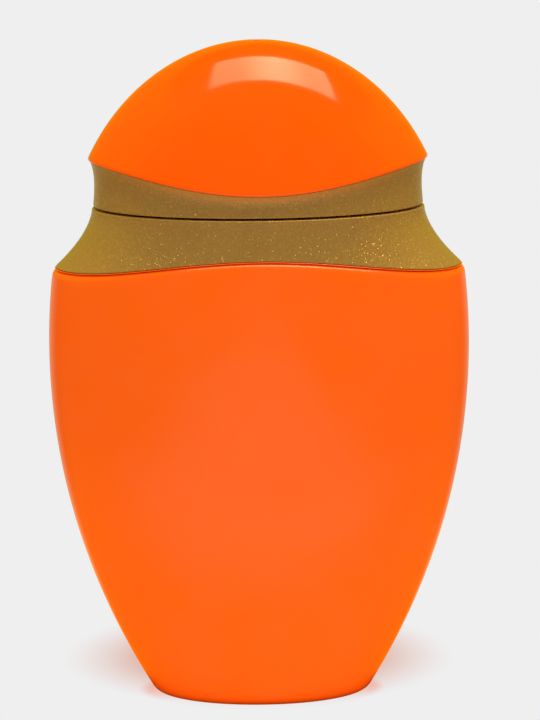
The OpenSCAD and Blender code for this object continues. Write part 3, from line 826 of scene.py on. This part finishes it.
class BOTTLE_OT_collar(bpy.types.Operator):
    """Make the gold collar on the bottle's shoulder"""

    bl_idname = "lotion_bottle.collar"
    bl_label = "Shoulder Collar"

    def execute(self, context):
        s = context.scene.bottle_sizes
        gold = gold_lacquer(context.scene.bottle_finishes)
        side_w, side_d = body_halves(s, s.seam_sides)
        face_w, face_d = body_halves(s, s.seam_faces)
        opening = s.thread_width / 2 + 0.25 * MM
        collar = grow(
            "collar_shell",
            flared_oval_tree(),
            {
                "Flat Half Width": s.waist_width / 2, "Flat Half Depth": s.waist_depth / 2,
                "Flat Height": s.collar_top, "Edge Half Width": float(side_w) - LIP_INSET,
                "Edge Half Width at Faces": float(face_w) - LIP_INSET,
                "Edge Half Depth": float(face_d) - LIP_INSET,
                "Edge Half Depth at Sides": float(side_d) - LIP_INSET, "Height at Sides": s.seam_sides,
                "Height at Faces": s.seam_faces, "Sweep": COLLAR_SWEEP, "Flare": s.flare, "Hollow": 0.0,
                "Wall": s.collar_wall, "Opening Half Width": opening, "Opening Half Depth": opening,
                "Deck": s.deck, "Edge Radius": 0.3 * MM, "Around": AROUND, "Rows": 81, "Material": gold,
            },
        )  # fmt: skip
        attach(collar, "bottle")
        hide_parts("shoulder_collar")
        return {"FINISHED"}


class BOTTLE_OT_plug(bpy.types.Operator):
    """Make the orifice plug in the neck"""

    bl_idname = "lotion_bottle.plug"
    bl_label = "Orifice Plug"

    def execute(self, context):
        s = context.scene.bottle_sizes
        # Low-density polyethylene is waxy: pale, soft-looking and only half glossy.
        waxy = pale_plastic("natural_polyethylene", context.scene.bottle_finishes.plug, 0.38, 1.5, 0.01 * MM)
        skirt, hole, neck = s.bore / 2 - 0.05 * MM, s.orifice / 2, s.neck_width / 2
        top, foot = plug_high.z, plug_low.z
        well = skirt - 1 * MM
        floor_low, floor_high = foot + 1.5 * MM, foot + 2.5 * MM
        outline = [(hole, floor_low + 0.1 * MM), (hole + 0.1 * MM, floor_low)]
        outline += [(well - 0.2 * MM, floor_low), (well, floor_low - 0.2 * MM)]
        outline += [(well, foot + 0.1 * MM), (well + 0.1 * MM, foot)]
        outline += [(well + 0.5 * MM, foot), (skirt, foot + 0.8 * MM)]
        outline += [(skirt, z) for z in np.linspace(foot + 1.2 * MM, s.neck_top - 0.05 * MM, 6)]
        outline += [(skirt + 0.05 * MM, s.neck_top)]
        outline += arc((neck - 0.2 * MM, s.neck_top + 0.2 * MM), 0.2 * MM, 270, 360, 5)
        outline += arc((neck - 0.35 * MM, top - 0.35 * MM), 0.35 * MM, 0, 90, 7)
        outline += arc((well + 0.35 * MM, top - 0.35 * MM), 0.35 * MM, 90, 180, 7)
        outline += [(well, z) for z in np.linspace(top - 1 * MM, floor_high + 0.8 * MM, 5)]
        outline += arc((well - 0.6 * MM, floor_high + 0.6 * MM), 0.6 * MM, 0, -90, 8)
        # A low collar stands round the hole, so that the lotion breaks off cleanly
        outline += [(hole + 1.2 * MM, floor_high), (hole + 0.6 * MM, floor_high + 0.35 * MM)]
        outline += [(hole + 0.25 * MM, floor_high + 0.5 * MM), (hole, floor_high + 0.4 * MM)]
        plug = turned("plug_cup", outline, waxy)
        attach(plug, "bottle")
        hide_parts("orifice_plug")
        return {"FINISHED"}


class BOTTLE_OT_wad(bpy.types.Operator):
    """Make the foam wad that seals the mouth"""

    bl_idname = "lotion_bottle.wad"
    bl_label = "Sealing Wad"

    def execute(self, context):
        s = context.scene.bottle_sizes
        # Expanded polyethylene is matt and shows its small cells.
        foam = pale_plastic("expanded_polyethylene", context.scene.bottle_finishes.foam, 0.75, 0.5, 0.06 * MM)
        low, high, radius = wad_low.z, wad_high.z, wad_high.x
        inside, outside = s.bore / 2 - 1 * MM, s.neck_width / 2
        outline = [(0.2 * MM, low), (inside * 0.5, low), (inside, low)]
        # The plug's flange presses a shallow ring into the foam's face
        pressed = low + 0.08 * MM
        outline += [(inside + 0.2 * MM, pressed), (outside - 0.1 * MM, pressed)]
        outline += [(outside + 0.1 * MM, low), (radius - 0.2 * MM, low)]
        outline += arc((radius - 0.15 * MM, low + 0.15 * MM), 0.15 * MM, -90, 0, 4)
        outline += arc((radius - 0.15 * MM, high - 0.15 * MM), 0.15 * MM, 0, 90, 4)
        outline += [(radius * 0.5, high), (0.2 * MM, high)]
        wad = turned("foam_wad", outline, foam, loop=False)
        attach(wad, "wad")
        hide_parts("sealing_wad")
        return {"FINISHED"}


class BOTTLE_OT_inner_cap(bpy.types.Operator):
    """Make the threaded inner cap with its oval web and gussets"""

    bl_idname = "lotion_bottle.inner_cap"
    bl_label = "Inner Cap"

    def execute(self, context):
        s, c = context.scene.bottle_sizes, context.scene.cap_sizes
        # Moulded polypropylene without pigment: milky white, smooth from a polished core.
        finishes = context.scene.bottle_finishes
        milky = pale_plastic("natural_polypropylene", finishes.inner, 0.3, 2.0, 0.008 * MM)
        inside = s.thread_width / 2 + 0.3 * MM
        outside = inside + c.inner_wall
        low, high, ceiling = cap_low.z, cap_high.z, wad_high.z
        outline = [(0.3 * MM, ceiling), (inside * 0.6, ceiling)]
        outline += arc((inside - 0.2 * MM, ceiling - 0.2 * MM), 0.2 * MM, 90, 0, 4)
        outline += [(inside, z) for z in np.linspace(ceiling - 1 * MM, low + 0.6 * MM, 8)]
        outline += [(inside + 0.4 * MM, low), (outside - 0.2 * MM, low), (outside, low + 0.2 * MM)]
        outline += [(outside, z) for z in np.linspace(low + 1 * MM, high - 1.2 * MM, 8)]
        outline += arc((outside - 0.8 * MM, high - 0.8 * MM), 0.8 * MM, 0, 90, 8)
        outline += [(outside * 0.5, high), (0.3 * MM, high)]
        tube = turned("inner_tube", outline, milky, loop=False)

        web_w, web_d = inside_band(s, c)
        web_low = c.band_foot + WEB_RISE
        web_high = web_low + c.web
        root = outside - 0.4 * MM
        web = loft(
            "inner_web",
            [
                oval(root, root, web_low),
                oval(web_w - 0.25 * MM, web_d - 0.25 * MM, web_low),
                oval(web_w, web_d, web_low + 0.25 * MM),
                oval(web_w, web_d, web_high - 0.1 * MM),
                oval(web_w - 0.1 * MM, web_d - 0.1 * MM, web_high),
                oval(root, root, web_high),
            ],
            milky,
            loop=True,
        )
        angles = np.radians([0, 42, 138, 180, 222, 318])
        spots = [(math.cos(a) * outside, math.sin(a) * outside, web_high) for a in angles]
        gussets = grow(
            "inner_gussets",
            gusset_tree(),
            {
                "Thickness": 1.2 * MM, "Root": inside + 0.4 * MM, "Reach": outside + 4 * MM,
                "Foot Height": 0.8 * MM, "Height": 6 * MM, "Material": milky,
            },
            points=spots,
        )  # fmt: skip
        ridge = (s.thread_width - s.neck_width) / 2
        lugs = grow(
            "inner_thread",
            thread_tree(),
            {
                "Radius": inside, "Lead": s.thread_lead, "Turns": 0.42,
                "Foot": s.collar_top + THREAD_RISE + s.thread_lead / 4,
                "First Angle": math.radians(20), "Ridge Height": -ridge, "Ridge Foot Width": 1.7 * MM,
                "Ridge Crest Width": 0.8 * MM, "Starts": 2, "Steps": 96, "Material": milky,
            },
        )  # fmt: skip
        for piece in (tube, web, gussets, lugs):
            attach(piece, "cap")
        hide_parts("inner_cap")
        return {"FINISHED"}


class BOTTLE_OT_band(bpy.types.Operator):
    """Make the gold band of the cap"""

    bl_idname = "lotion_bottle.band"
    bl_label = "Cap Band"

    def execute(self, context):
        s, c = context.scene.bottle_sizes, context.scene.cap_sizes
        gold = bpy.data.materials.get("gold_flake_lacquer") or gold_lacquer(context.scene.bottle_finishes)
        lip = 1 * MM
        half_w, half_d = s.waist_width / 2 - BAND_STEP, s.waist_depth / 2 - BAND_STEP
        edge_w, edge_d = c.crest_width / 2 - CREST_REACH, c.crest_depth / 2 - CREST_REACH
        band = grow(
            "band_shell",
            flared_oval_tree(),
            {
                "Flat Half Width": half_w, "Flat Half Depth": half_d, "Flat Height": c.band_foot,
                "Edge Half Width": edge_w, "Edge Half Width at Faces": edge_w,
                "Edge Half Depth": edge_d, "Edge Half Depth at Sides": edge_d,
                "Height at Sides": c.crest_sides, "Height at Faces": c.crest_faces, "Sweep": CREST_SWEEP,
                "Flare": 6.0, "Hollow": 0.25 * MM, "Wall": c.band_wall,
                "Opening Half Width": half_w - c.band_wall - lip,
                "Opening Half Depth": half_d - c.band_wall - lip, "Deck": 0.8 * MM, "Edge Radius": 0.3 * MM,
                "Around": AROUND, "Rows": 81, "Material": gold,
            },
        )  # fmt: skip
        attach(band, "cap")
        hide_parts("cap_band")
        return {"FINISHED"}


class BOTTLE_OT_dome(bpy.types.Operator):
    """Make the orange dome of the cap, with the mark of its gate"""

    bl_idname = "lotion_bottle.dome"
    bl_label = "Cap Dome"

    def execute(self, context):
        s, c = context.scene.bottle_sizes, context.scene.cap_sizes
        finishes = context.scene.bottle_finishes
        # Moulded polypropylene from a polished cavity: sharper gloss than the blown bottle.
        orange = orange_plastic("moulded_polypropylene", finishes.dome, 1.5, 0.1, 0.012 * MM, 0.002 * MM)

        edge_r, gap = 0.5 * MM, 0.06 * MM
        crest = swept(c.crest_sides, c.crest_faces, CREST_SWEEP)
        crest_edge = crest + edge_r + gap
        even = swept(c.crest_sides + edge_r, c.crest_faces + edge_r, 2)
        rim_w, rim_d = c.crest_width / 2, c.crest_depth / 2
        full = c.fullness

        def dome_ring(share, inset):
            """A ring on the dome at a share of the way down from its top"""
            out = math.sqrt(full * share - (full - 1) * share * share)
            top = c.top - inset
            heights = top - share * (top - even - (crest_edge - even) * share * share)
            return oval((rim_w - inset) * out, (rim_d - inset) * out, heights)

        def dimple_ring(radius):
            """A round ring near the top, on the dome less the dimple's depth there"""
            x, y = radius * np.cos(TURN), radius * np.sin(TURN)
            out = np.hypot(x / rim_w, y / rim_d)
            share = (full - np.sqrt(full**2 - 4 * (full - 1) * out * out)) / (2 * (full - 1))
            sink = c.dimple_depth * (0.5 + 0.5 * math.cos(math.pi * min(1.0, 2 * radius / c.dimple)))
            return np.stack([x, y, c.top - share * (c.top - even) - sink], axis=1)

        # The dome's spigot stands on the inner cap's web, inside the band
        spigot_w, spigot_d = inside_band(s, c)
        spigot_z = c.band_foot + WEB_RISE + c.web
        rings = [dome_ring(k, c.dome_wall) for k in np.linspace(0.05, 0.98, 26) ** 1.4]
        rings += [oval(spigot_w - 1.2 * MM, spigot_d - 1.2 * MM, spigot_z + 0.1 * MM)]
        rings += [oval(spigot_w - 1.1 * MM, spigot_d - 1.1 * MM, spigot_z)]
        rings += [oval(spigot_w - 0.2 * MM, spigot_d - 0.2 * MM, spigot_z)]
        rings += [oval(spigot_w, spigot_d, spigot_z + 0.2 * MM), oval(spigot_w, spigot_d, crest + gap)]
        rings += [oval(rim_w - CREST_REACH, rim_d - CREST_REACH, crest + gap)]
        for angle in np.radians(np.linspace(10, 80, 8)):
            inset = CREST_REACH * (1 - math.sin(angle))
            rings.append(oval(rim_w - inset, rim_d - inset, crest + gap + edge_r * (1 - math.cos(angle))))
        # Rings lie close at the rim and at the top, and the last of them is round
        shares = [k * k * 0.9 + k * 0.1 for k in 1 - np.linspace(0, 1, 80)]
        rings += [dome_ring(share, 0.0) for share in shares if share > 0.012]
        radii = (2.6, 2.3, 2.1, 2.0, 1.9, 1.7, 1.5, 1.3, 1.1, 0.9, 0.7, 0.5, 0.3, 0.12)
        rings += [dimple_ring(radius * MM) for radius in radii]
        dome = loft("dome_shell", rings, orange)

        # The gate is trimmed with a small stub left in the dimple
        top = c.top - c.dimple_depth
        outline = [(0.01 * MM, top - 0.3 * MM), (0.55 * MM, top - 0.3 * MM), (0.5 * MM, top + 0.06 * MM)]
        outline += [(0.42 * MM, top + 0.12 * MM), (0.2 * MM, top + 0.1 * MM), (0.01 * MM, top + 0.13 * MM)]
        # The gate mark is darker than the dome, and matt.
        darker = [v * 0.45 for v in finishes.dome[:3]] + [1.0]
        scar = orange_plastic("gate_scar", darker, 1.5, 0.5, 0.02 * MM, 0.01 * MM)
        gate = turned("gate_mark", outline, scar, around=32, loop=False)
        for piece in (dome, gate):
            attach(piece, "cap")
        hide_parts("cap_dome")
        return {"FINISHED"}


class BOTTLE_OT_stage(bpy.types.Operator):
    """Make the paper floor, the lights and the camera"""

    bl_idname = "lotion_bottle.stage"
    bl_label = "Stage"

    def execute(self, context):
        scene = context.scene
        studio = scene.bottle_studio

        # A plain pale floor. It lights the bottle as matt white paper does, but with painted shade under the foot and
        # a painted orange glow round it, while the camera and the bottle's gloss each see a glow of its own in its
        # place, with painted shadow and painted reflections, as the comments below say. Its places are in
        # millimetres.
        far = 3.0
        mesh = bpy.data.meshes.new("paper_floor")
        mesh.from_pydata([(-far, -far, 0), (far, -far, 0), (far, far, 0), (-far, far, 0)], [], [(0, 1, 2, 3)])
        floor = bpy.data.objects.new("paper_floor", mesh)
        context.collection.objects.link(floor)
        material, tree, shader, mm = new_material("matt_paper")
        material.cycles.emission_sampling = "NONE"
        shader.inputs["Roughness"].default_value = 1.0
        shader.inputs["Specular IOR Level"].default_value = 0.0
        path = add_node(tree, "ShaderNodeLightPath")
        spot = add_node(tree, "ShaderNodeSeparateXYZ", {0: mm})

        def ramp(value, low, high, start=0.0, end=1.0, kind="SMOOTHSTEP", to=tree):
            """A value that passes from start to end while the given one goes from low to high"""
            limits = {"Value": value, "From Min": low, "From Max": high, "To Min": start, "To Max": end}
            return add_node(to, "ShaderNodeMapRange", limits, interpolation_type=kind).outputs[0]

        def combined(operation, first, second, to=tree):
            """Two values combined by one of the Math node's operations"""
            return add_node(to, "ShaderNodeMath", {0: first, 1: second}, operation=operation).outputs[0]

        def reach(middle, wide, near, far):
            """Distance on the floor from a point on its Y axis, as a share of an oval's half width and depths"""
            x = combined("DIVIDE", spot.outputs[0], wide)
            y = combined("SUBTRACT", spot.outputs[1], middle)
            y = combined("MAXIMUM", combined("DIVIDE", y, far), combined("DIVIDE", y, -near))
            squares = combined("ADD", combined("MULTIPLY", x, x), combined("MULTIPLY", y, y))
            return add_node(tree, "ShaderNodeMath", {0: squares}, operation="SQRT").outputs[0]

        # The foot of the bottle is an oval of half width 22 and half depth 15.6. The paper's colour is painted almost
        # black under it and fades to white just outside it, as painted shade, so hardly any light leaves the paper
        # under it.
        from_foot = reach(0, 22, 15.6, 15.6)
        white = ramp(from_foot, 0.98, 1.12, 0.02, 0.86)
        paper = add_node(tree, "ShaderNodeCombineColor", {0: white, 1: white, 2: white})
        tree.links.new(paper.outputs[0], shader.inputs["Base Color"])
        # Round the foot the paper glows orange: painted light that stands in for the bottle's own light sent back
        shader.inputs["Emission Color"].default_value = (1, 0.5, 0.3, 1)
        tree.links.new(ramp(from_foot, 1.2, 4, 0.42, 0), shader.inputs["Emission Strength"])

        # What the camera sees: the backdrop's grey, a warm pool of painted shadow beside and behind the bottle, and a
        # painted rim of the bottle's own bounced colour with contact shade, where the back of the foot touches the
        # paper
        pool = combined("POWER", ramp(reach(25, 40, 40, 42), 0.5, 1.0, 1, 0, "LINEAR"), 1.3)
        pool = combined("MINIMUM", pool, 0.66)
        near_foot = ramp(from_foot, 1.0, 1.13, 0.55, 0)
        touch = combined("MULTIPLY", near_foot, ramp(spot.outputs[1], -10, 0, 0.1, 1))
        tone = studio.backdrop
        for share, shade in ((pool, "#DBA08B"), (touch, "#F29A84")):
            mixed = {0: share, 6: tone, 7: linear(shade)}
            tone = add_node(tree, "ShaderNodeMix", mixed, data_type="RGBA").outputs[2]
        seen = add_node(tree, "ShaderNodeEmission", {"Color": tone, "Strength": 1.0})

        # What the bottle's gloss sees, as painted reflections: a pale glowing lane in front, which ends at both sides
        # and short of the foot
        across = combined("ABSOLUTE", spot.outputs[0], 0)
        lane = combined("MULTIPLY", ramp(across, 60, 170, 1, 0), ramp(spot.outputs[1], -640, -440, 0.3, 1))
        lane = combined("MULTIPLY", lane, ramp(spot.outputs[1], -110, -40, 1, 0))
        # Behind the bottle the paper glows bright again, a painted reflection that shows in the rims of its sides
        aside = combined("DIVIDE", across, spot.outputs[1])
        behind = combined("MULTIPLY", ramp(spot.outputs[1], 4, 32), ramp(aside, 0.45, 1.9, 1, 0.05))
        # Round the foot the paper glows with a painted copy of the bottle's own orange light, which the gloss
        # reflects
        warm = combined("MULTIPLY", ramp(from_foot, 1.04, 1.3), ramp(from_foot, 2.0, 12.0, 1, 0))
        glows = []
        parts = ((lane, 0.36, (1, 1, 1, 1)), (warm, 0.9, (1, 0.3, 0, 1)), (behind, 0.55, (1, 1, 0.62, 1)))
        for share, level, tint in parts:
            strength = combined("MULTIPLY", share, level)
            glows.append(
                add_node(tree, "ShaderNodeEmission", {"Color": tint, "Strength": strength}).outputs[0]
            )
        mirrored = add_node(tree, "ShaderNodeAddShader", {0: glows[0], 1: glows[1]}).outputs[0]
        mirrored = add_node(tree, "ShaderNodeAddShader", {0: mirrored, 1: glows[2]}).outputs[0]
        other = add_node(
            tree, "ShaderNodeMixShader", {0: path.outputs["Is Glossy Ray"], 1: shader.outputs[0], 2: mirrored}
        ).outputs[0]
        whole = add_node(
            tree, "ShaderNodeMixShader", {0: path.outputs["Is Camera Ray"], 1: other, 2: seen.outputs[0]}
        )
        out = next(n for n in tree.nodes if n.type == "OUTPUT_MATERIAL")
        tree.links.new(whole.outputs[0], out.inputs["Surface"])
        mesh.materials.append(material)

        world = bpy.data.worlds.new("studio")
        scene.world = world
        world.use_nodes = True
        world.cycles.sampling_method = "NONE"
        tree = world.node_tree
        tree.nodes.clear()
        path = add_node(tree, "ShaderNodeLightPath")
        ways = add_node(tree, "ShaderNodeTexCoord").outputs["Generated"]
        way = add_node(tree, "ShaderNodeSeparateXYZ", {0: ways})
        seen = add_node(tree, "ShaderNodeBackground", {"Color": list(studio.backdrop), "Strength": 1.0})
        # The room's soft light comes a little more from the left
        room = ramp(way.outputs[0], -1, 1, 0.84, 0.74, "LINEAR", tree)
        soft = add_node(tree, "ShaderNodeBackground", {"Color": (1, 1, 1, 1), "Strength": room})
        # In the gloss the front of the room is dark, and its sides and back are bright up to the softbox
        sides = ramp(way.outputs[1], -0.75, -0.15, 0, 0.45, to=tree)
        leant = combined("ADD", way.outputs[2], combined("MULTIPLY", way.outputs[0], 0.13, tree), tree)
        walls = combined("MULTIPLY", sides, ramp(leant, 0.69, 0.77, 1, 0, to=tree), tree)
        gloss = add_node(tree, "ShaderNodeBackground", {"Color": (1, 0.96, 0.02, 1), "Strength": walls})
        lit = add_node(
            tree,
            "ShaderNodeMixShader",
            {0: path.outputs["Is Glossy Ray"], 1: soft.outputs[0], 2: gloss.outputs[0]},
        )
        both = add_node(
            tree, "ShaderNodeMixShader", {0: path.outputs["Is Camera Ray"], 1: lit.outputs[0], 2: seen.outputs[0]}
        )
        add_node(tree, "ShaderNodeOutputWorld", {"Surface": both.outputs[0]})

        def softbox(name, place, facing, width, depth, radiance, tint):
            """A rectangular light that faces a direction; radiance is what a mirror would show of it"""
            light = bpy.data.lights.new(name, "AREA")
            light.shape = "RECTANGLE"
            light.size, light.size_y = width, depth
            light.energy = radiance * math.pi * width * depth
            light.color = tint
            # Its tube shows through the cloth as a brighter middle, and the cloth is brighter towards one end
            light.use_nodes = True
            cloth = light.node_tree
            cloth.nodes.clear()
            along = add_node(cloth, "ShaderNodeNewGeometry").outputs["Parametric"]
            along = add_node(cloth, "ShaderNodeSeparateXYZ", {0: along}).outputs[0]
            off = combined("ABSOLUTE", combined("SUBTRACT", along, 0.5, cloth), 0, cloth)
            tube = ramp(off, 0.0, 0.32, 0.5, 0, to=cloth)
            level = combined("ADD", tube, ramp(along, 0, 1, 0.44, 0.56, to=cloth), cloth)
            lit_cloth = add_node(cloth, "ShaderNodeEmission", {"Strength": level})
            add_node(cloth, "ShaderNodeOutputLight", {"Surface": lit_cloth.outputs[0]})
            lamp = bpy.data.objects.new(name, light)
            lamp.location = place
            lamp.rotation_mode = "QUATERNION"
            lamp.rotation_quaternion = Vector(facing).to_track_quat("-Z", "Y")
            context.collection.objects.link(lamp)

        # The dome's highlight is this softbox, above the bottle and a little in front of it
        softbox(
            "overhead_softbox",
            place=(0.15, -0.106, 1.074),
            facing=(0, 0.479, -0.878),
            width=0.945,
            depth=0.58,
            radiance=8.0,
            tint=(1.0, 0.97, 0.6),
        )

        # The picture is 720 px high, and a millimetre at the bottle's axis is 5.083 px of it. The bottle stands a
        # little left of the picture's middle and below it, so the lens is shifted.
        tall, scale = 720, 5.083
        lens = bpy.data.cameras.new("photo_camera")
        lens.sensor_width = 36
        lens.lens = scale * studio.distance / MM / tall * 36
        lens.shift_x, lens.shift_y = 10.48 / tall, 7.29 / tall
        lens.clip_start, lens.clip_end = 0.05, 20
        camera = bpy.data.objects.new("photo_camera", lens)
        back = Vector(
            (
                math.sin(studio.turn) * math.cos(studio.rise),
                -math.cos(studio.turn) * math.cos(studio.rise),
                math.sin(studio.rise),
            )
        )
        camera.location = Vector((0, 0, studio.aim_height)) + back * studio.distance
        camera.rotation_mode = "QUATERNION"
        camera.rotation_quaternion = (-back).to_track_quat("-Z", "Y") @ Quaternion((0, 0, 1), studio.roll)
        context.collection.objects.link(camera)
        scene.camera = camera
        scene.view_settings.view_transform = "Standard"
        scene.view_settings.look = "None"
        return {"FINISHED"}


class BOTTLE_PT_panel(bpy.types.Panel):
    """Lists the bottle's pieces"""

    bl_idname = "BOTTLE_PT_panel"
    bl_label = "Lotion Bottle"
    bl_space_type = "VIEW_3D"
    bl_region_type = "UI"
    bl_category = "Lotion Bottle"

    def draw(self, context):
        column = self.layout.column(align=True)
        for operator in OPERATORS:
            column.operator(operator.bl_idname)
        for group in ("bottle_sizes", "cap_sizes", "bottle_finishes", "bottle_studio"):
            settings = getattr(context.scene, group)
            box = self.layout.box()
            for name in settings.__annotations__:
                box.prop(settings, name)


OPERATORS = (
    BOTTLE_OT_stage,
    BOTTLE_OT_blown_body,
    BOTTLE_OT_collar,
    BOTTLE_OT_plug,
    BOTTLE_OT_wad,
    BOTTLE_OT_inner_cap,
    BOTTLE_OT_band,
    BOTTLE_OT_dome,
)
GROUPS = {
    "bottle_sizes": BottleSizes,
    "cap_sizes": CapSizes,
    "bottle_finishes": Finishes,
    "bottle_studio": Studio,
}


def register():
    for group in GROUPS.values():
        bpy.utils.register_class(group)
    for name, group in GROUPS.items():
        setattr(bpy.types.Scene, name, bpy.props.PointerProperty(type=group))
    for operator in OPERATORS:
        bpy.utils.register_class(operator)
    bpy.utils.register_class(BOTTLE_PT_panel)


def unregister():
    bpy.utils.unregister_class(BOTTLE_PT_panel)
    for operator in reversed(OPERATORS):
        bpy.utils.unregister_class(operator)
    for name in GROUPS:
        delattr(bpy.types.Scene, name)
    for group in reversed(GROUPS.values()):
        bpy.utils.unregister_class(group)


def main():
    register()
    for operator in OPERATORS:
        family, name = operator.bl_idname.split(".")
        getattr(getattr(bpy.ops, family), name)()


if __name__ == "__main__":
    main()
